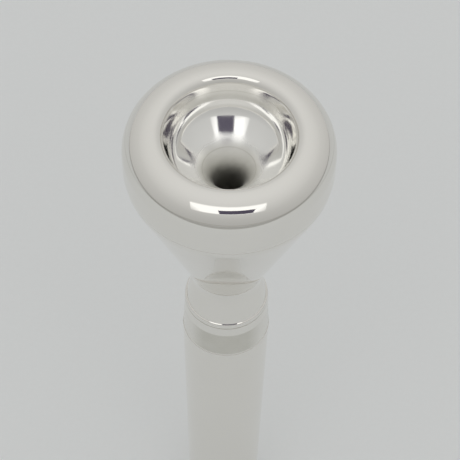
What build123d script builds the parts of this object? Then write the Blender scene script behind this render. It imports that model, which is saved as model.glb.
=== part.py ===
from build123d import *
import math
import os

# Trumpet mouthpiece that screws apart: rim, cup and shank, with a captive seal at each joint.
# Millimetres. The origin is the centre of the shank's small end, and +Z runs up the bore to the rim.
# A drop is a distance below the rim's top. Names that end in _z are heights above the origin.

# The outside of the rim and the cup.
overall_length = 87.0
rim_d = 27.0
rim_shoulder_drop = 3.8       # where the rim's rounding meets its straight wall
wall_drop = 7.6               # where the straight wall would meet the bowl's cone
wall_round = 9.0
neck_d = 9.4
neck_drop = 29.4              # where the cone would meet the neck
neck_round = 7.0
neck_straight = 0.34          # from the neck's rounding down to where the flare begins
flare_round = 4.0
lip_d = 11.2
lip_drop = 36.0               # the joint between the cup and the shank
lip_height = 0.7
lip_ledge = 0.24              # how far the lip stands out from the flare
lip_ledge_rise = 0.15
lip_inner_round = 0.12
lip_outer_round = 0.25
edge_break = 0.05             # chamfer that leaves each joint as a fine line

# The outside of the shank.
band_top_drop = 37.4
band_bottom_drop = 42.1
band_top_d = 11.36
band_bottom_d = 11.6
shank_end_d = 9.8
shank_taper = 0.0435          # growth of the diameter for each unit of length
shank_top_round = 0.3
shank_end_round = 0.3
band_top_round = 0.1
band_bottom_round = 0.02
band_foot_round = 0.05        # in the corner under the band

# The air way.
mouth_d = 16.5
bite_round = 1.4
wall_draft_deg = 14.0
wall_foot_drop = 3.13         # where the mouth's wall meets the bowl's curve
bowl_round = 3.88             # the bowl's curve under the mouth
flank_round = 23.0            # the flatter curve that goes on from it
flank_top_deg = 41.0          # slope where one curve meets the other
flank_foot_deg = 34.0         # slope where the bowl turns over into the throat
throat_d = 3.66
throat_length = 4.7
backbore_joint_d = 5.2
backbore_end_d = 8.2

# The rim's screw joint.
seat_drop = 2.0
seat_width = 2.65             # the face that the rim lands on, from the mouth out to the thread's core
rim_thread_start = 1.5        # from the seat down to the first turn
rim_thread_turns = 3.5
rim_seal_width = 1.1
rim_seal_height = 0.75

# The shank's screw joint.
spigot_core_d = 7.9
spigot_length = 8.0
spigot_thread_start = 1.0
spigot_thread_turns = 4.0
oring_groove_depth = 0.6
oring_groove_start = 6.3      # from the lip down to the groove
oring_width = 1.1

# The threads and the clearances.
thread_pitch = 1.0
thread_depth = 0.45
thread_base = 0.6
thread_crest = 0.2
thread_embed = 0.08           # how far a turn is sunk into its core
thread_clearance = 0.1        # crest to core, on the radius
seal_clearance = 0.05
socket_floor_gap = 0.1
cut_margin = 1.0              # how far a cutting tool runs past what it cuts

# What follows from those sizes.
rim_r = rim_d / 2
mouth_r = mouth_d / 2
crest_r = mouth_r + bite_round
neck_r = neck_d / 2
lip_r = lip_d / 2
throat_r = throat_d / 2
top_z = overall_length
seat_z = top_z - seat_drop
wall_z = top_z - wall_drop
lip_z = top_z - lip_drop
boss_r = mouth_r + seat_width
rim_seal_inner_r = mouth_r + (seat_width - rim_seal_width) / 2
rim_seal_outer_r = rim_seal_inner_r + rim_seal_width
rim_bore_r = boss_r + thread_depth + thread_clearance
spigot_r = spigot_core_d / 2
socket_r = spigot_r + thread_depth + thread_clearance
pilot_bore_r = spigot_r + thread_clearance
oring_floor_r = spigot_r - oring_groove_depth
spigot_end_z = lip_z - spigot_length
oring_top_z = lip_z - oring_groove_start


def turned(*lines):
    """The solid that a closed outline in the XZ plane makes when it is turned about Z."""
    edges = [edge for line in lines for edge in (Plane.XZ * line).edges()]
    return revolve(make_face(edges), Axis.Z)


def disc(radius, low, high):
    return Pos(0, 0, low) * Cylinder(radius, high - low, align=(Align.CENTER, Align.CENTER, Align.MIN))


def ring(inner_r, outer_r, low, high):
    return disc(outer_r, low, high) - disc(inner_r, low - cut_margin, high + cut_margin)


def thread_ridge(base_r, crest_at_r, first_z, turns):
    """A helical ridge of trapezium section, upwards from first_z."""
    path = Helix(thread_pitch, thread_pitch * turns, base_r, center=(0, 0, first_z))
    section = Polyline(
        (base_r, 0, first_z - thread_base / 2),
        (crest_at_r, 0, first_z - thread_crest / 2),
        (crest_at_r, 0, first_z + thread_crest / 2),
        (base_r, 0, first_z + thread_base / 2),
        close=True,
    )
    return sweep(make_face(section), path=path, is_frenet=True)


def outer_thread(core_r, top, turns):
    """The ridge of a male thread whose last turn ends at height top."""
    return thread_ridge(core_r - thread_embed, core_r + thread_depth, top - turns * thread_pitch, turns)


def inner_thread(core_r, top, turns):
    """The ridge of the female thread that runs half a pitch away from it."""
    bore_r = core_r + thread_clearance + thread_depth
    first_z = top - (turns - 0.5) * thread_pitch
    return thread_ridge(bore_r + thread_embed, core_r + thread_clearance, first_z, turns)


def head_blank():
    """The outside of the rim and the cup as one solid, down to the lip."""
    crest_centre_z = top_z - rim_shoulder_drop
    rounding = EllipticalCenterArc(
        (crest_r, crest_centre_z), rim_r - crest_r, rim_shoulder_drop, start_angle=0, arc_size=90
    )
    neck_z = top_z - neck_drop
    cone_angle = math.atan2(rim_r - neck_r, wall_z - neck_z)
    flare_z = neck_z - neck_round * math.tan(cone_angle / 2) - neck_straight
    side = FilletPolyline(
        (rim_r, crest_centre_z),
        (rim_r, wall_z),
        (neck_r, neck_z),
        (neck_r, flare_z),
        (lip_r - lip_ledge, lip_z + lip_height + lip_ledge_rise),
        (lip_r, lip_z + lip_height),
        (lip_r, lip_z),
        radius=[wall_round, neck_round, flare_round, lip_inner_round, lip_outer_round],
    )
    closing = Polyline((lip_r, lip_z), (0, lip_z), (0, top_z), (crest_r, top_z))
    return turned(rounding, side, closing)


def air_way():
    """The space inside the whole mouthpiece: mouth, bowl, throat and backbore."""
    draft = math.radians(wall_draft_deg)
    top_slope = math.radians(flank_top_deg)
    foot_slope = math.radians(flank_foot_deg)
    bite_z = top_z - bite_round
    wall_top_r = crest_r - bite_round * math.cos(draft)
    wall_top_z = bite_z + bite_round * math.sin(draft)
    wall_foot_z = top_z - wall_foot_drop
    wall_foot_r = wall_top_r - (wall_top_z - wall_foot_z) * math.tan(draft)
    bowl_x = wall_foot_r - bowl_round * math.cos(draft)
    bowl_z = wall_foot_z + bowl_round * math.sin(draft)
    flank_x = bowl_x - (flank_round - bowl_round) * math.sin(top_slope)
    flank_z = bowl_z + (flank_round - bowl_round) * math.cos(top_slope)
    turn_r = flank_x + flank_round * math.sin(foot_slope)
    turn_z = flank_z - flank_round * math.cos(foot_slope)
    throat_round = (turn_r - throat_r) / (1 - math.sin(foot_slope))
    throat_z = turn_z - throat_round * math.cos(foot_slope)
    bite = CenterArc((crest_r, bite_z), bite_round, 90, 90 - wall_draft_deg)
    wall = Line((wall_top_r, wall_top_z), (wall_foot_r, wall_foot_z))
    bowl = CenterArc((bowl_x, bowl_z), bowl_round, -wall_draft_deg, wall_draft_deg + flank_top_deg - 90)
    flank = CenterArc((flank_x, flank_z), flank_round, flank_top_deg - 90, flank_foot_deg - flank_top_deg)
    turn = CenterArc(
        (throat_r + throat_round, throat_z), throat_round, 90 + flank_foot_deg, 90 - flank_foot_deg
    )
    rest = Polyline(
        (throat_r, throat_z),
        (throat_r, throat_z - throat_length),
        (backbore_joint_d / 2, spigot_end_z),
        (backbore_end_d / 2, 0),
        (backbore_end_d / 2, -cut_margin),
        (0, -cut_margin),
        (0, top_z + cut_margin),
        (crest_r, top_z + cut_margin),
        (crest_r, top_z),
    )
    return turned(bite, wall, bowl, flank, turn, rest)


def rim():
    """The screw rim: the rounded crest, and a skirt that is threaded inside."""
    body = head_blank() - air_way()
    body -= disc(rim_r + cut_margin, lip_z - cut_margin, wall_z)
    body -= disc(rim_bore_r, wall_z - cut_margin, seat_z)
    body -= ring(
        rim_seal_inner_r - seal_clearance,
        rim_seal_outer_r + seal_clearance,
        seat_z - cut_margin,
        seat_z + rim_seal_height + seal_clearance,
    )
    body = chamfer(body.edges().filter_by(GeomType.CIRCLE).group_by(Axis.Z)[0], edge_break)
    return body + inner_thread(boss_r, seat_z - rim_thread_start, rim_thread_turns)


def rim_seal():
    """The seal that lies in the rim's groove and bears on the cup's top face."""
    seal = ring(rim_seal_inner_r, rim_seal_outer_r, seat_z, seat_z + rim_seal_height)
    return fillet(seal.edges().filter_by(GeomType.CIRCLE), rim_seal_width / 4)


def cup():
    """The bowl, the neck and the lip, with a threaded boss above and a threaded spigot below."""
    body = head_blank() - ring(boss_r, rim_r + cut_margin, wall_z, top_z + cut_margin)
    body -= disc(rim_r, seat_z, top_z + cut_margin)
    edges = body.edges().filter_by(GeomType.CIRCLE)
    rim_edge = edges.filter_by_position(Axis.Z, wall_z, wall_z).sort_by(Edge.length)[-1]
    lip_edge = edges.filter_by_position(Axis.Z, lip_z, lip_z)
    body = chamfer([rim_edge, *lip_edge], edge_break)
    body = chamfer(body.edges().filter_by_position(Axis.Z, seat_z, seat_z), thread_depth)
    body += disc(spigot_r, spigot_end_z, lip_z)
    body -= ring(oring_floor_r, socket_r, oring_top_z - oring_width - 2 * seal_clearance, oring_top_z)
    body -= air_way()
    body += outer_thread(boss_r, seat_z - rim_thread_start, rim_thread_turns)
    return body + outer_thread(spigot_r, lip_z - spigot_thread_start, spigot_thread_turns)


def shank_seal():
    """The O-ring in the spigot's groove, which wipes the socket's plain bore."""
    low = oring_top_z - oring_width - seal_clearance
    seal = ring(oring_floor_r + seal_clearance, pilot_bore_r - seal_clearance, low, low + oring_width)
    return fillet(seal.edges().filter_by(GeomType.CIRCLE), (pilot_bore_r - oring_floor_r) / 4)


def shank():
    """The tapered shank with its turned band, the threaded socket and the backbore."""
    band_top_z = top_z - band_top_drop
    band_bottom_z = top_z - band_bottom_drop
    taper_top_r = (shank_end_d + shank_taper * band_bottom_z) / 2
    outline = FilletPolyline(
        (0, lip_z),
        (lip_r, lip_z),
        (band_top_d / 2, band_top_z),
        (band_bottom_d / 2, band_bottom_z),
        (taper_top_r, band_bottom_z - (taper_top_r - band_bottom_d / 2)),
        (shank_end_d / 2, 0),
        (0, 0),
        radius=[shank_top_round, band_top_round, band_bottom_round, band_foot_round, shank_end_round],
    )
    body = turned(outline, Line((0, 0), (0, lip_z)))
    thread_foot_z = lip_z - spigot_thread_start - (spigot_thread_turns + 0.5) * thread_pitch
    body -= disc(socket_r, thread_foot_z, lip_z + cut_margin)
    body -= disc(pilot_bore_r, spigot_end_z - socket_floor_gap, lip_z)
    body -= air_way()
    return body + inner_thread(spigot_r, lip_z - spigot_thread_start, spigot_thread_turns)


os.makedirs("parts", exist_ok=True)
for make_piece in (rim, rim_seal, cup, shank_seal, shank):
    export_step(make_piece(), f"parts/{make_piece.__name__}.step")
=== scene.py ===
import math

import bpy
from mathutils import Matrix, Vector


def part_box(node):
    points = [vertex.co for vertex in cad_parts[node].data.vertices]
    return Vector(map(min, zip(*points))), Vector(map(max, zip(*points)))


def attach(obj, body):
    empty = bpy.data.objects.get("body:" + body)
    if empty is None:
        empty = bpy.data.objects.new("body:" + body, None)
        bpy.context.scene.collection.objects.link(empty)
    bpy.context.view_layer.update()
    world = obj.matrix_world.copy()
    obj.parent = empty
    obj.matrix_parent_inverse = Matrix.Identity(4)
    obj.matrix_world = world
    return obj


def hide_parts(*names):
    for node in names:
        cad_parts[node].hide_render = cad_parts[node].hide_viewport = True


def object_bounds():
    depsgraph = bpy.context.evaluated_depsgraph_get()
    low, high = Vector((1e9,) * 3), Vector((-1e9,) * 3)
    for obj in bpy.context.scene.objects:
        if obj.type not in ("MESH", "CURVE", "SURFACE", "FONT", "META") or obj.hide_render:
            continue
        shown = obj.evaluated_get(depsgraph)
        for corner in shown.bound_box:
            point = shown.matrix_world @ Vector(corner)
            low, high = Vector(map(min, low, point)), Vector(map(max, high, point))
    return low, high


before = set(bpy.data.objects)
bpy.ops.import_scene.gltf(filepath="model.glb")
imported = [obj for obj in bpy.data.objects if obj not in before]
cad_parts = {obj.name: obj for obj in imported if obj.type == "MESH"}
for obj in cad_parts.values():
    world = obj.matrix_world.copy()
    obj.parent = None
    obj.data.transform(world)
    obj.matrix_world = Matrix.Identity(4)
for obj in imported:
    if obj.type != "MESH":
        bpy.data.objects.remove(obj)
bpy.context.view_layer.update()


# ---------------------------------------------------------------------------
# The shank. A turned brass bar with silver plate: a long taper that fits the
# instrument, a satin band under the joint, and a threaded socket in its top
# that the cup's spigot screws into. The backbore widens all the way down.

MM = 0.001
SIDES = 256                      # facets round every turned piece
RUN = 0.35                       # longest step along a turned outline, in mm
TURN_STEP_DEG = 3                # largest turn from one step of a rounding to the next
SHARP_DEG = 32                   # a crease steeper than this is a real edge


def arc(centre, radii, first_deg, last_deg, steps):
    """Points along an arc of a circle or an ellipse, as (radius, height) in mm."""
    points = []
    for i in range(steps + 1):
        angle = math.radians(first_deg + (last_deg - first_deg) * i / steps)
        points.append((centre[0] + radii[0] * math.cos(angle), centre[1] + radii[1] * math.sin(angle)))
    return points


def rounded(corners, radii):
    """A line through the corners with each inner corner rounded to its own radius."""
    points = [corners[0]]
    for before, here, after, radius in zip(corners, corners[1:], corners[2:], radii):
        corner = Vector(here)
        back = (Vector(before) - corner).normalized()
        ahead = (Vector(after) - corner).normalized()
        half = back.angle(ahead) / 2
        bisector = (back + ahead).normalized()
        centre = corner + bisector * (radius / math.sin(half))
        start = corner + back * (radius / math.tan(half)) - centre
        sweep = math.pi - 2 * half
        turn = 1 if back.x * ahead.y - back.y * ahead.x < 0 else -1
        steps = max(4, int(math.degrees(sweep) / TURN_STEP_DEG), int(radius * sweep / RUN))
        for i in range(steps + 1):
            angle = turn * sweep * i / steps
            points.append((
                centre.x + start.x * math.cos(angle) - start.y * math.sin(angle),
                centre.y + start.x * math.sin(angle) + start.y * math.cos(angle),
            ))
    points.append(corners[-1])
    return points


def part_of(line, high, low):
    """The stretch of a falling outline between two heights, cut exactly at both."""
    kept = []
    for (r0, z0), (r1, z1) in zip(line, line[1:]):
        for cut in (high, low):
            if z0 > cut > z1:
                kept.append((r0 + (r1 - r0) * (z0 - cut) / (z0 - z1), cut))
        if low <= z1 <= high:
            kept.append((r1, z1))
        if not kept and low <= z0 <= high:
            kept.append((r0, z0))
    return sorted(kept, key=lambda point: -point[1])


def turned(outline):
    """Vertices and faces of the skin that a closed outline makes when it is turned about the axis."""
    loop = []
    for (r0, z0), (r1, z1) in zip(outline, outline[1:] + outline[:1]):
        length = math.hypot(r1 - r0, z1 - z0)
        if length < 1e-6:
            continue
        steps = max(1, math.ceil(length / RUN))
        loop += [(r0 + (r1 - r0) * i / steps, z0 + (z1 - z0) * i / steps) for i in range(steps)]
    vertices = []
    for radius, height in loop:
        for side in range(SIDES):
            angle = 2 * math.pi * side / SIDES
            vertices.append((radius * MM * math.cos(angle), radius * MM * math.sin(angle), height * MM))
    faces = []
    for row in range(len(loop)):
        here = row * SIDES
        below = (row + 1) % len(loop) * SIDES
        for side in range(SIDES):
            beside = (side + 1) % SIDES
            faces.append((here + side, below + side, below + beside, here + beside))
    return vertices, faces


THREAD_PITCH = 1.0
THREAD_FOOT = 0.6                # width of a turn where it leaves its core
THREAD_TIP = 0.2
THREAD_SUNK = 0.08               # how far a turn is sunk into its core
THREAD_HEIGHT = 0.45
THREAD_SOFTNESS = 0.03           # how far the corners of its tip are broken
THREAD_CLEARANCE = 0.1
THREAD_ROWS = 128                # sections to a turn
THREAD_FADE = 8                  # the ridge fades over one turn divided by this


def thread(core_radius, tip_radius, first_height, turns):
    """Vertices and faces of a helical ridge that fades out over an eighth of a turn at each end."""
    foot_radius = core_radius - math.copysign(THREAD_SUNK, tip_radius - core_radius)
    foot, tip, soft = THREAD_FOOT / 2, THREAD_TIP / 2, THREAD_SOFTNESS
    section = [
        (0, -foot),
        (1 - soft, -tip - soft),
        (1, -tip + soft),
        (1, tip - soft),
        (1 - soft, tip + soft),
        (0, foot),
    ]
    rows = int(turns * THREAD_ROWS)
    vertices = []
    for row in range(rows + 1):
        turn = turns * row / rows
        fade = max(0.02, min(1, turn * THREAD_FADE, (turns - turn) * THREAD_FADE))
        angle = 2 * math.pi * turn
        for rise, offset in section:
            radius = foot_radius + (tip_radius - foot_radius) * rise * fade
            height = first_height + THREAD_PITCH * turn + offset
            vertices.append((radius * MM * math.cos(angle), radius * MM * math.sin(angle), height * MM))
    corners = len(section)
    outward = tip_radius > core_radius
    faces = []
    for row in range(rows):
        for side in range(corners):
            a = row * corners + side
            b = row * corners + (side + 1) % corners
            face = (a, a + corners, b + corners, b)
            faces.append(face if outward else face[::-1])
    first = tuple(range(corners))
    last = tuple(rows * corners + side for side in range(corners))
    faces += [first, last[::-1]] if outward else [first[::-1], last]
    return vertices, faces


def piece(name, skins, material):
    """One object made of closed skins, smooth except at its real edges."""
    vertices, faces = [], []
    for skin_vertices, skin_faces in skins:
        start = len(vertices)
        vertices += skin_vertices
        faces += [tuple(start + i for i in face) for face in skin_faces]
    mesh = bpy.data.meshes.new(name)
    mesh.from_pydata(vertices, [], faces)
    mesh.validate()
    mesh.shade_smooth()
    mesh.set_sharp_from_angle(angle=math.radians(SHARP_DEG))
    mesh.materials.append(material)
    made = bpy.data.objects.new(name, mesh)
    bpy.context.scene.collection.objects.link(made)
    return made


class Signal:
    """An output socket of a material's nodes. Arithmetic on it adds Math nodes."""

    def __init__(self, tree, socket=None):
        self.tree = tree
        self.socket = socket

    def add(self, kind, settings, inputs, output=0):
        node = self.tree.nodes.new(kind)
        for key, value in settings.items():
            if key == "stops":
                ramp = node.color_ramp
                while len(ramp.elements) < len(value):
                    ramp.elements.new(0.5)
                for element, (position, colour) in zip(ramp.elements, value):
                    element.position = position
                    element.color = colour
            else:
                setattr(node, key, value)
        for key, value in inputs.items():
            socket = node.inputs[key]
            if isinstance(value, Signal):
                self.tree.links.new(value.socket, socket)
            else:
                socket.default_value = value
        return Signal(self.tree, node.outputs[output])

    def math(self, operation, first, second=0.0):
        return self.add("ShaderNodeMath", {"operation": operation}, {0: first, 1: second})

    def into(self, node, name):
        self.tree.links.new(self.socket, node.inputs[name])

    def __add__(self, other):
        return self.math("ADD", self, other)

    def __sub__(self, other):
        return self.math("SUBTRACT", self, other)

    def __rsub__(self, other):
        return self.math("SUBTRACT", other, self)

    def __mul__(self, other):
        return self.math("MULTIPLY", self, other)

    def __truediv__(self, other):
        return self.math("DIVIDE", self, other)

    __radd__ = __add__
    __rmul__ = __mul__

    def clamped(self):
        return self.add("ShaderNodeClamp", {}, {"Value": self})

    def near(self, centre, reach):
        """1 where the value is centre, falling to 0 at reach from it."""
        return (1 - self.math("ABSOLUTE", self - centre) / reach).clamped()

    def within(self, low, high, edge):
        """1 between low and high, with soft ends."""
        return ((self - low) / edge).clamped() * ((high - self) / edge).clamped()


def principled(name):
    """A new material, its shader, and a place to start its nodes from."""
    material = bpy.data.materials.new(name)
    material.use_nodes = True
    tree = material.node_tree
    return material, tree.nodes["Principled BSDF"], Signal(tree)


def turned_place(start):
    """Where a point of a turned piece lies: its place, its radius and height in mm, and its heading."""
    place = start.add("ShaderNodeTexCoord", {}, {}, "Object")
    flat = start.add("ShaderNodeVectorMath", {"operation": "MULTIPLY"}, {0: place, 1: (1, 1, 0)})
    radius = start.add("ShaderNodeVectorMath", {"operation": "LENGTH"}, {0: flat}, "Value") / MM
    height = start.add("ShaderNodeSeparateXYZ", {}, {"Vector": place}, "Z") / MM
    heading = start.add("ShaderNodeVectorMath", {"operation": "NORMALIZE"}, {0: flat})
    return place, radius, height, heading


def noise(start, where, scale, detail, **more):
    return start.add("ShaderNodeTexNoise", {}, {"Vector": where, "Scale": scale, "Detail": detail, **more})


def blend(start, factor, first, second):
    """A mix of two colours: the first where factor is 0, the second where it is 1."""
    return start.add("ShaderNodeMix", {"data_type": "RGBA"}, {"Factor": factor, 6: first, 7: second}, 2)


CLEAN_SILVER = (0.862, 0.845, 0.808, 1)
# Painted light: a lighter, more neutral silver that the bowl is painted with.
BOWL_SILVER_PAINTED_LIGHTER = (0.905, 0.898, 0.876, 1)
# Tarnish, and also the colour that painted shade in the throat and on the band's front blends towards.
TARNISH_AND_PAINTED_SHADE_SILVER = (0.47, 0.46, 0.39, 1)
BAND_SOFTNESS = 0.25             # how softly a satin band ends, in mm
TOOL_SOFTNESS = 0.05             # and a tooled face
MOUTH_SOFTNESS = 0.5             # and the buffed mouth, whose lighter colour is painted light
THROAT_REACH = 14.5              # how far below the bowl's foot the wheel's marks still differ, and the throat's painted shade reaches
FRONT_OF_PAINTED_REFLECTION = 0.60            # cosine of how far round from the front the band's painted dark reflection reaches


def silver_plate(name, stained=(), satin=(), tooled=(), mouth=None):
    """Polished silver plate. stained: (height, reach, depth) where tarnish gathers. satin: (low, high)
    bands turned matt, with a little tarnish and a painted dark reflection at the front. tooled: (low, high,
    inner, outer) faces that the lathe tool has left bare of polish. mouth: a buffed bowl painted lighter,
    with painted shade in its throat, as mouth_finish takes it."""
    material, shader, start = principled(name)
    place, radius, height, heading = turned_place(start)
    along = start.add("ShaderNodeCombineXYZ", {}, {"Z": (height + radius) * 0.9})
    ringed = start.add("ShaderNodeVectorMath", {"operation": "ADD"}, {0: heading, 1: along})
    haze = noise(start, place, 420, 4, Roughness=0.6)
    cloud = noise(start, place, 90, 2)
    lines = noise(start, ringed, 7, 5, Roughness=0.7)
    hairline = ((noise(start, place, 2600, 1, Distortion=3) - 0.66) * 9).clamped()

    stain_and_painted_shade = ((cloud - 0.52) * 3).clamped() * 0.05
    matt = hairline * 0.03
    clean_and_painted_light = CLEAN_SILVER
    for level, reach, depth in stained:
        stain_and_painted_shade = stain_and_painted_shade + height.near(level, reach) * (haze * 0.8 + 0.4) * depth
    for low, high in satin:
        band = height.within(low, high, BAND_SOFTNESS)
        front = start.add("ShaderNodeSeparateXYZ", {}, {"Vector": heading}, "Y") * -1
        # Painted dark reflection: only the side of the band that faces the front is darkened, fading
        # towards the sides.
        painted_front_reflection = ((front - FRONT_OF_PAINTED_REFLECTION) * 4).clamped() * band
        matt = matt + band * (lines * 0.10 + 0.08)
        stain_and_painted_shade = stain_and_painted_shade + band * (haze * 0.1 + 0.04) + painted_front_reflection * (haze * 0.2 + 0.26)
    for low, high, inner, outer in tooled:
        face = height.within(low, high, TOOL_SOFTNESS) * radius.within(inner, outer, TOOL_SOFTNESS)
        matt = matt + face * (lines * 0.3 + 0.12)
        stain_and_painted_shade = stain_and_painted_shade + face * 0.15
    if mouth:
        # The bowl's colour is painted lighter and its throat is painted with shade.
        mouth_matt, throat_painted_shade, clean_and_painted_light = mouth_finish(start, mouth, radius, height, heading, haze)
        matt = matt + mouth_matt
        stain_and_painted_shade = stain_and_painted_shade + throat_painted_shade

    blend(start, stain_and_painted_shade.clamped(), clean_and_painted_light, TARNISH_AND_PAINTED_SHADE_SILVER).into(shader, "Base Color")
    (matt + haze * 0.035 + lines * 0.02 + 0.015).into(shader, "Roughness")
    relief = lines * 0.5 + haze * 0.5 - hairline * 0.3
    bump = start.add("ShaderNodeBump", {}, {"Height": relief, "Strength": 0.05, "Distance": 0.00002})
    bump.into(shader, "Normal")
    shader.inputs["Metallic"].default_value = 1.0
    return material


def mouth_finish(start, mouth, radius, height, heading, haze):
    """The matt, the painted shade and the colour of a buffed bowl, painted lighter. mouth: (radius of the
    mouth, height of the bowl's foot, outer and inner radius between which the wheel reaches less and less
    and the painted shade grows)."""
    mouth_radius, foot, outer, inner = mouth
    above_foot = height - foot
    bowl = ((mouth_radius - radius) / MOUTH_SOFTNESS).clamped() * above_foot.clamped()
    throat = ((outer - radius) / (outer - inner)).clamped() * ((above_foot + THROAT_REACH) * 2).clamped()
    streaks = noise(start, heading, 12, 4, Roughness=0.7)
    # Painted shade: the throat's colour darkens deeper down, where the bore lies in shade.
    matt = bowl * (streaks * 0.07 + 0.015) + throat * (haze * 0.1 + 0.30)
    # Painted light: the bowl is given a lighter, more neutral silver than the rest.
    return matt, throat * throat * 0.25, blend(start, bowl, CLEAN_SILVER, BOWL_SILVER_PAINTED_LIGHTER)


shank_low, shank_high = (corner.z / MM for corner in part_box("shank"))
LIP_RADIUS = 5.6                 # both sides of the joint between cup and shank
BAND_TOP = (5.68, 49.6)
BAND_BOTTOM = (5.8, 44.9)
SHANK_END_RADIUS = 4.9
SHANK_TAPER = 0.0435             # growth of the diameter for each unit of height
BACKBORE_END_RADIUS = 4.1
BACKBORE_JOINT_RADIUS = 2.6
SPIGOT_RADIUS = 3.95
SPIGOT_END = 43.0
SPIGOT_TURNS = 4.0
SPIGOT_THREAD_START = 46.0
SOCKET_FLOOR = 42.9
SOCKET_THREAD_FOOT = 45.5
SOCKET_RELIEF = 0.2              # slope between the thread's bore and the plain bore under it
PILOT_RADIUS = SPIGOT_RADIUS + THREAD_CLEARANCE
SOCKET_RADIUS = PILOT_RADIUS + THREAD_HEIGHT
OUTER_ROUNDS = [0.3, 0.1, 0.02, 0.04, 0.3]               # from the joint down to the small end
INNER_ROUNDS = [0.12, 0.06, 0.05, 0.05, 0.05, 0.08]      # back up the bore to the socket's mouth

taper_radius = SHANK_END_RADIUS + SHANK_TAPER * BAND_BOTTOM[1] / 2
backbore_slope = (BACKBORE_END_RADIUS - BACKBORE_JOINT_RADIUS) / SPIGOT_END
floor_bore = BACKBORE_JOINT_RADIUS + backbore_slope * (SPIGOT_END - SOCKET_FLOOR)
top_face = (SOCKET_RADIUS + 0.4, shank_high)
shank_loop = rounded(
    [
        top_face,
        (LIP_RADIUS, shank_high),
        BAND_TOP,
        BAND_BOTTOM,
        (taper_radius, BAND_BOTTOM[1] - (taper_radius - BAND_BOTTOM[0])),
        (SHANK_END_RADIUS, shank_low),
        (BACKBORE_END_RADIUS, shank_low),
        (floor_bore, SOCKET_FLOOR),
        (PILOT_RADIUS, SOCKET_FLOOR),
        (PILOT_RADIUS, SOCKET_THREAD_FOOT),
        (SOCKET_RADIUS, SOCKET_THREAD_FOOT + SOCKET_RELIEF),
        (SOCKET_RADIUS, shank_high),
        top_face,
    ],
    OUTER_ROUNDS + INNER_ROUNDS,
)
shank = piece(
    "tapered_shank",
    [
        turned(shank_loop[::-1]),
        thread(SOCKET_RADIUS, PILOT_RADIUS, SPIGOT_THREAD_START + THREAD_PITCH / 2, SPIGOT_TURNS),
    ],
    silver_plate(
        "silver_of_the_shank",
        stained=[
            (shank_high, 0.2, 0.8),
            (BAND_BOTTOM[1] - 0.05, 0.10, 0.15),
            (shank_low + 0.3, 1.5, 0.25),
        ],
        satin=[(BAND_BOTTOM[1] + 0.05, BAND_TOP[1] - 0.1)],
        tooled=[
            (SOCKET_FLOOR - 0.1, shank_high - 0.02, PILOT_RADIUS - 0.15, SOCKET_RADIUS + 0.1),
            (shank_high - 0.1, shank_high + 0.1, SOCKET_RADIUS - 0.1, LIP_RADIUS - 0.3),
        ],
    ),
)
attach(shank, "shank")
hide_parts("shank")


# ---------------------------------------------------------------------------
# The shank's seal. A black nitrile O-ring that lies in the groove near the
# spigot's end and wipes the plain bore under the socket's thread, so that no
# breath leaks down the screw.


def seal_rubber(name):
    """Smooth black rubber with a bloom of dust and fine mould lines."""
    material, shader, start = principled(name)
    place = start.add("ShaderNodeTexCoord", {}, {}, "Object")
    grain = noise(start, place, 9000, 3)
    dusty = ((noise(start, place, 700, 4) - 0.48) * 3).clamped()
    bump = start.add("ShaderNodeBump", {}, {"Height": grain, "Strength": 0.3, "Distance": 0.00002})
    blend(start, dusty * 0.6, (0.018, 0.018, 0.019, 1), (0.055, 0.054, 0.052, 1)).into(shader, "Base Color")
    (grain * 0.2 + dusty * 0.15 + 0.35).into(shader, "Roughness")
    bump.into(shader, "Normal")
    return material


SEAL_BORES = {"shank_seal": 3.4, "rim_seal": 9.025}      # inner radius of each seal
SEAL_CLEARANCE = 0.05


def seal_loop(node, softness):
    """The outline of a seal: a rounded rectangle between its inner and outer radius."""
    low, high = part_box(node)
    inner, outer = SEAL_BORES[node], high.x / MM
    bottom, top = low.z / MM, high.z / MM
    middle = (inner + outer) / 2
    return rounded(
        [(middle, top), (inner, top), (inner, bottom), (outer, bottom), (outer, top), (middle + 0.01, top)],
        [softness] * 4,
    )


shank_seal = piece(
    "spigot_o_ring",
    [turned(seal_loop("shank_seal", softness=0.28))],
    seal_rubber("o_ring_rubber"),
)
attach(shank_seal, "shank_seal")
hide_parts("shank_seal")


# ---------------------------------------------------------------------------
# The cup. One piece of turned brass with silver plate: the bowl, the neck and
# the flared lip. A threaded boss stands up for the rim, and a threaded spigot
# hangs down for the shank. The air way runs through all of it.

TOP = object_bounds()[1].z / MM
RIM_RADIUS = 13.5
SHOULDER_DROP = 3.8              # height of the rim's rounding
WALL = TOP - 7.6                 # where the rim and the cup part outside
WALL_ROUND = 9
NECK = TOP - 29.4
NECK_RADIUS = 4.7
NECK_LENGTH = 1.7
NECK_ROUND = 7
FLARE_ROUND = 4
LIP = TOP - 36.0
LIP_HEIGHT = 0.7
LIP_LEDGE = 0.24                 # how far the lip stands out from the flare
LIP_LEDGE_RISE = 0.15
LIP_ROUNDS = [0.12, 0.25]        # under the flare, and on the lip's upper edge
EDGE = 0.05                      # chamfer that leaves each joint as a fine line


def outside_line():
    """The outside of the rim and the cup, from the crest down to the lip."""
    rounding = (RIM_RADIUS - CREST_RADIUS, SHOULDER_DROP)
    shoulder = arc((CREST_RADIUS, TOP - SHOULDER_DROP), rounding, 90, 0, steps=64)
    side = rounded(
        [
            (RIM_RADIUS, TOP - SHOULDER_DROP),
            (RIM_RADIUS, WALL),
            (NECK_RADIUS, NECK),
            (NECK_RADIUS, NECK - NECK_LENGTH),
            (LIP_RADIUS - LIP_LEDGE, LIP + LIP_HEIGHT + LIP_LEDGE_RISE),
            (LIP_RADIUS, LIP + LIP_HEIGHT),
            (LIP_RADIUS, LIP),
        ],
        [WALL_ROUND, NECK_ROUND, FLARE_ROUND, *LIP_ROUNDS],
    )
    return shoulder + side[1:]


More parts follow.
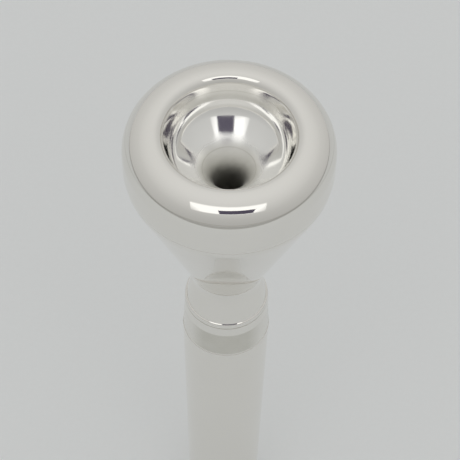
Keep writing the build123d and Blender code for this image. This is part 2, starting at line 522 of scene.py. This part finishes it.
MOUTH_RADIUS = 8.25
BITE_ROUND = 1.4                 # the soft inner edge of the rim
CREST_RADIUS = MOUTH_RADIUS + BITE_ROUND
DRAFT_DEG = 14                   # slope of the mouth's wall away from upright
WALL_FOOT = TOP - 3.13           # where the wall meets the bowl's curve
BOWL_ROUND = 3.88
FLANK_ROUND = 23.0
FLANK_TOP_DEG = 41               # slope where the bowl's two curves meet
FLANK_FOOT_DEG = 34              # slope where the bowl turns over into the throat
THROAT_RADIUS = 1.83
THROAT_LENGTH = 4.7


def air_line():
    """The mouth, the bowl, the throat and the backbore's top, from the crest down to the spigot's end."""
    draft, top_slope, foot_slope = map(math.radians, (DRAFT_DEG, FLANK_TOP_DEG, FLANK_FOOT_DEG))
    bite_z = TOP - BITE_ROUND
    wall_top = (CREST_RADIUS - BITE_ROUND * math.cos(draft), bite_z + BITE_ROUND * math.sin(draft))
    foot_radius = wall_top[0] - (wall_top[1] - WALL_FOOT) * math.tan(draft)
    bowl = (foot_radius - BOWL_ROUND * math.cos(draft), WALL_FOOT + BOWL_ROUND * math.sin(draft))
    reach = FLANK_ROUND - BOWL_ROUND
    flank = (bowl[0] - reach * math.sin(top_slope), bowl[1] + reach * math.cos(top_slope))
    turn = (flank[0] + FLANK_ROUND * math.sin(foot_slope), flank[1] - FLANK_ROUND * math.cos(foot_slope))
    throat_round = (turn[0] - THROAT_RADIUS) / (1 - math.sin(foot_slope))
    throat_z = turn[1] - throat_round * math.cos(foot_slope)
    throat = (THROAT_RADIUS + throat_round, throat_z)
    return (
        arc((CREST_RADIUS, bite_z), (BITE_ROUND, BITE_ROUND), 90, 180 - DRAFT_DEG, steps=36)
        + arc(bowl, (BOWL_ROUND, BOWL_ROUND), -DRAFT_DEG, FLANK_TOP_DEG - 90, steps=24)
        + arc(flank, (FLANK_ROUND, FLANK_ROUND), FLANK_TOP_DEG - 90, FLANK_FOOT_DEG - 90, steps=16)[1:]
        + arc(throat, (throat_round, throat_round), 90 + FLANK_FOOT_DEG, 180, steps=40)[1:]
        + [(THROAT_RADIUS, throat_z - THROAT_LENGTH), (BACKBORE_JOINT_RADIUS, SPIGOT_END)]
    )


SEAT = TOP - 2.0                 # where the rim lands on the cup inside
BOSS_RADIUS = 10.9
RIM_TURNS = 3.5
RIM_THREAD_START = SEAT - 1.5 - RIM_TURNS * THREAD_PITCH
SPIGOT_BREAK = 0.08              # chamfer at the spigot's end
ORING_GROOVE_TOP = LIP - 6.3
ORING_GROOVE_WIDTH = 1.2
ORING_GROOVE_FLOOR = SPIGOT_RADIUS - 0.6
# The buffed bowl painted lighter and the throat painted with shade, as mouth_finish takes them.
MOUTH_POLISH_AND_PAINTED_LIGHT = (MOUTH_RADIUS + 0.05, TOP - 12.5, 5.1, 3.4)

wall_radius = part_of(outside_line(), WALL, LIP)[0][0]
cup_loop = (
    part_of(air_line(), SEAT, SPIGOT_END)[::-1]
    + [(BOSS_RADIUS - THREAD_HEIGHT, SEAT), (BOSS_RADIUS, SEAT - THREAD_HEIGHT), (BOSS_RADIUS, WALL)]
    + [(wall_radius - EDGE, WALL)]
    + part_of(outside_line(), WALL - EDGE, LIP + EDGE)
    + [
        (LIP_RADIUS - EDGE, LIP),
        (SPIGOT_RADIUS, LIP),
        (SPIGOT_RADIUS, ORING_GROOVE_TOP),
        (ORING_GROOVE_FLOOR, ORING_GROOVE_TOP),
        (ORING_GROOVE_FLOOR, ORING_GROOVE_TOP - ORING_GROOVE_WIDTH),
        (SPIGOT_RADIUS, ORING_GROOVE_TOP - ORING_GROOVE_WIDTH),
        (SPIGOT_RADIUS, SPIGOT_END + SPIGOT_BREAK),
        (SPIGOT_RADIUS - SPIGOT_BREAK, SPIGOT_END),
    ]
)
cup = piece(
    "cup_with_neck",
    [
        turned(cup_loop[::-1]),
        thread(BOSS_RADIUS, BOSS_RADIUS + THREAD_HEIGHT, RIM_THREAD_START, RIM_TURNS),
        thread(SPIGOT_RADIUS, SPIGOT_RADIUS + THREAD_HEIGHT, SPIGOT_THREAD_START, SPIGOT_TURNS),
    ],
    silver_plate(
        "silver_of_the_cup",
        stained=[(WALL, 0.08, 0.3), (LIP, 0.2, 0.8), (SEAT, 0.10, 0.4)],
        tooled=[
            (WALL - 0.1, SEAT - 0.1, BOSS_RADIUS - 0.5, BOSS_RADIUS + 0.6),
            (SPIGOT_END - 0.1, LIP - 0.1, ORING_GROOVE_FLOOR - 0.15, SOCKET_RADIUS + 0.1),
        ],
        mouth=MOUTH_POLISH_AND_PAINTED_LIGHT,
    ),
)
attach(cup, "cup")
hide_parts("cup")


# ---------------------------------------------------------------------------
# The rim's seal. A flat black rubber ring, pressed into a groove in the
# underside of the rim, that bears on the cup's top face.

rim_seal = piece(
    "rim_groove_seal",
    [turned(seal_loop("rim_seal", softness=0.3))],
    seal_rubber("rim_seal_rubber"),
)
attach(rim_seal, "rim_seal")
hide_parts("rim_seal")


# ---------------------------------------------------------------------------
# The rim. Turned brass with silver plate, polished where the lips rest: a
# rounded crest with a soft inner edge, and a skirt that is threaded inside
# and screws down over the cup's boss.

RIM_BORE = BOSS_RADIUS + THREAD_HEIGHT + THREAD_CLEARANCE
rim_seal_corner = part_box("rim_seal")[1] / MM
GROOVE = (SEAL_BORES["rim_seal"] - SEAL_CLEARANCE, rim_seal_corner.x + SEAL_CLEARANCE)
GROOVE_TOP = rim_seal_corner.z + SEAL_CLEARANCE
rim_loop = (
    part_of(outside_line(), TOP, WALL + EDGE)
    + [
        (wall_radius - EDGE, WALL),
        (RIM_BORE + EDGE, WALL),
        (RIM_BORE, WALL + EDGE),
        (RIM_BORE, SEAT),
        (GROOVE[1], SEAT),
        (GROOVE[1], GROOVE_TOP),
        (GROOVE[0], GROOVE_TOP),
        (GROOVE[0], SEAT),
    ]
    + part_of(air_line(), TOP, SEAT)[::-1]
)
rim = piece(
    "screw_rim",
    [
        turned(rim_loop[::-1]),
        thread(RIM_BORE, RIM_BORE - THREAD_HEIGHT, RIM_THREAD_START + THREAD_PITCH / 2, RIM_TURNS),
    ],
    silver_plate(
        "silver_of_the_rim",
        stained=[(WALL, 0.08, 0.3), (SEAT, 0.10, 0.4)],
        tooled=[
            (WALL + 0.1, SEAT - 0.1, BOSS_RADIUS, RIM_BORE + 0.15),
            (SEAT - 0.1, GROOVE_TOP + 0.1, GROOVE[0] - 0.075, RIM_BORE + 0.05),
        ],
        mouth=MOUTH_POLISH_AND_PAINTED_LIGHT,
    ),
)
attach(rim, "rim")
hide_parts("rim")


# ---------------------------------------------------------------------------
# The table, and the plain pale sheet on it that the mouthpiece stands on. The
# sheet ends in front and at the sides, and runs on behind.


def flat_card(name, corners, material):
    """A flat four-cornered card."""
    mesh = bpy.data.meshes.new(name)
    mesh.from_pydata(corners, [], [(0, 1, 2, 3)])
    mesh.materials.append(material)
    made = bpy.data.objects.new(name, mesh)
    bpy.context.scene.collection.objects.link(made)
    return made


def matt_board(name, pale, dark):
    """Matt card with a faint fibre."""
    material, shader, start = principled(name)
    fibre = noise(start, start.add("ShaderNodeTexCoord", {}, {}, "Object"), 1500, 3)
    bump = start.add("ShaderNodeBump", {}, {"Height": fibre, "Strength": 0.1, "Distance": 0.00005})
    blend(start, fibre, dark, pale).into(shader, "Base Color")
    bump.into(shader, "Normal")
    shader.inputs["Roughness"].default_value = 0.8
    shader.inputs["Specular IOR Level"].default_value = 0.1
    return material


SHEET_LEVEL = -0.0001            # just under the mouthpiece's foot
SHEET_FRONT = 0.45               # half its width in front, and how far it reaches there
SHEET_BACK = (3.5, 3.9)          # the same behind
TABLE_LEVEL = -0.003
TABLE_HALF = 4

sheet = flat_card(
    "sheet",
    [
        (-SHEET_FRONT, -SHEET_FRONT, SHEET_LEVEL),
        (SHEET_FRONT, -SHEET_FRONT, SHEET_LEVEL),
        (SHEET_BACK[0], SHEET_BACK[1], SHEET_LEVEL),
        (-SHEET_BACK[0], SHEET_BACK[1], SHEET_LEVEL),
    ],
    matt_board("pale_sheet", (0.835, 0.850, 0.857, 1), (0.812, 0.827, 0.834, 1)),
)
table = flat_card(
    "table",
    [(TABLE_HALF * x, TABLE_HALF * y, TABLE_LEVEL) for x, y in ((-1, -1), (1, -1), (1, 1), (-1, 1))],
    matt_board("table_top", (0.56, 0.56, 0.55, 1), (0.52, 0.52, 0.51, 1)),
)


# ---------------------------------------------------------------------------
# The camera, above and in front of the mouthpiece, with a long lens.

RIM_CENTRE = Vector((0, 0, TOP * MM))
CAMERA_DISTANCE = 0.320
CAMERA_RISE = math.radians(52.21)
CAMERA_PITCH = math.radians(54.40)
CAMERA_ROLL = math.radians(1.13)
camera_place = RIM_CENTRE + CAMERA_DISTANCE * Vector((0, -math.cos(CAMERA_RISE), math.sin(CAMERA_RISE)))
forward = Vector((0, math.cos(CAMERA_PITCH), -math.sin(CAMERA_PITCH)))
level_right = Vector((1, 0, 0))
level_up = level_right.cross(forward)
right = level_right * math.cos(CAMERA_ROLL) + level_up * math.sin(CAMERA_ROLL)
up = right.cross(forward)
camera = bpy.data.objects.new("camera", bpy.data.cameras.new("camera"))
camera.data.sensor_width = 36.0
camera.data.lens = 201.9
camera.data.shift_x = 0.00487
camera.data.clip_start = 0.01
camera.matrix_world = Matrix.Translation(camera_place) @ Matrix((right, up, -forward)).transposed().to_4x4()
bpy.context.scene.collection.objects.link(camera)
bpy.context.scene.camera = camera


# ---------------------------------------------------------------------------
# The light. A pale room, a soft panel overhead and in front, and the dark
# card of the camera itself, which polished silver shows.


ROOM_LEVEL = 0.6


def glowing(name, colour, strength, edges=None):
    """A surface that gives an even light, or one that fades towards its edges.
    edges: (centre, half size, share that is at full strength), across and along."""
    material = bpy.data.materials.new(name)
    material.use_nodes = True
    tree = material.node_tree
    tree.nodes.clear()
    start = Signal(tree)
    glow = start.add("ShaderNodeEmission", {}, {"Color": colour, "Strength": strength})
    if edges:
        place = start.add("ShaderNodeTexCoord", {}, {}, "Object")
        level = strength - ROOM_LEVEL
        for axis, (centre, half, full) in zip("XY", edges):
            across = start.add("ShaderNodeSeparateXYZ", {}, {"Vector": place}, axis)
            off = start.math("ABSOLUTE", across - centre) / half
            level = ((1 - off) / (1 - full)).clamped() * level
        (level + ROOM_LEVEL).into(glow.socket.node, "Strength")
    glow.into(tree.nodes.new("ShaderNodeOutputMaterial"), "Surface")
    return material


world = bpy.data.worlds.new("room")
world.use_nodes = True
room = Signal(world.node_tree)
direction = room.add("ShaderNodeTexCoord", {}, {}, "Generated")
rise = room.add("ShaderNodeSeparateXYZ", {}, {"Vector": direction}, "Z")
behind = room.add("ShaderNodeSeparateXYZ", {}, {"Vector": direction}, "Y")
walls = room.add(
    "ShaderNodeValToRGB",
    {"stops": [
        (0.0, (0.50, 0.50, 0.50, 1)),
        (0.50, (0.47, 0.47, 0.46, 1)),
        (0.75, (0.53, 0.53, 0.52, 1)),
        (1.0, (0.66, 0.66, 0.65, 1)),
    ]},
    {"Fac": rise * 0.5 + 0.5},
)
ROOM_GAIN = 0.962
BACK_WALL_GAIN = 0.28            # how much more comes from behind the mouthpiece
strength = (behind * 0.5 + 0.5).clamped() * BACK_WALL_GAIN + ROOM_GAIN
backdrop = world.node_tree.nodes["Background"]
walls.into(backdrop, "Color")
strength.into(backdrop, "Strength")
bpy.context.scene.world = world

PANEL_HEIGHT = 1.1
PANEL_NEAR, PANEL_FAR = -0.24, -1.0          # its edges, in front of the mouthpiece
PANEL_NEAR_HALF, PANEL_FAR_HALF = 0.42, 0.80
PANEL_DEPTH = (PANEL_NEAR - PANEL_FAR) / 2

panel = flat_card(
    "overhead_panel",
    [
        (-PANEL_FAR_HALF, PANEL_FAR, PANEL_HEIGHT),
        (-PANEL_NEAR_HALF, PANEL_NEAR, PANEL_HEIGHT),
        (PANEL_NEAR_HALF, PANEL_NEAR, PANEL_HEIGHT),
        (PANEL_FAR_HALF, PANEL_FAR, PANEL_HEIGHT),
    ],
    glowing(
        "panel_cloth",
        (1, 1, 0.985, 1),
        1.2,
        edges=((0, PANEL_FAR_HALF, 0.6), (PANEL_FAR + PANEL_DEPTH, PANEL_DEPTH, 0.7)),
    ),
)
panel.visible_camera = False

CARD_HALF = (0.075, 0.035)       # half the width and height of the camera's flat body
CARD_SHIFT = 0.037               # the lens sits near one of its ends
CARD_SETBACK = 0.002
card_middle = camera_place + right * CARD_SHIFT - forward * CARD_SETBACK
lens_card = flat_card(
    "camera_card",
    [
        tuple(card_middle + right * (CARD_HALF[0] * x) + up * (CARD_HALF[1] * y))
        for x, y in ((-1, -1), (1, -1), (1, 1), (-1, 1))
    ],
    glowing("camera_back", (0.085, 0.075, 0.11, 1), 1.0),
)
lens_card.visible_camera = False
lens_card.visible_diffuse = False
lens_card.visible_shadow = False

bpy.context.scene.view_settings.view_transform = "Standard"
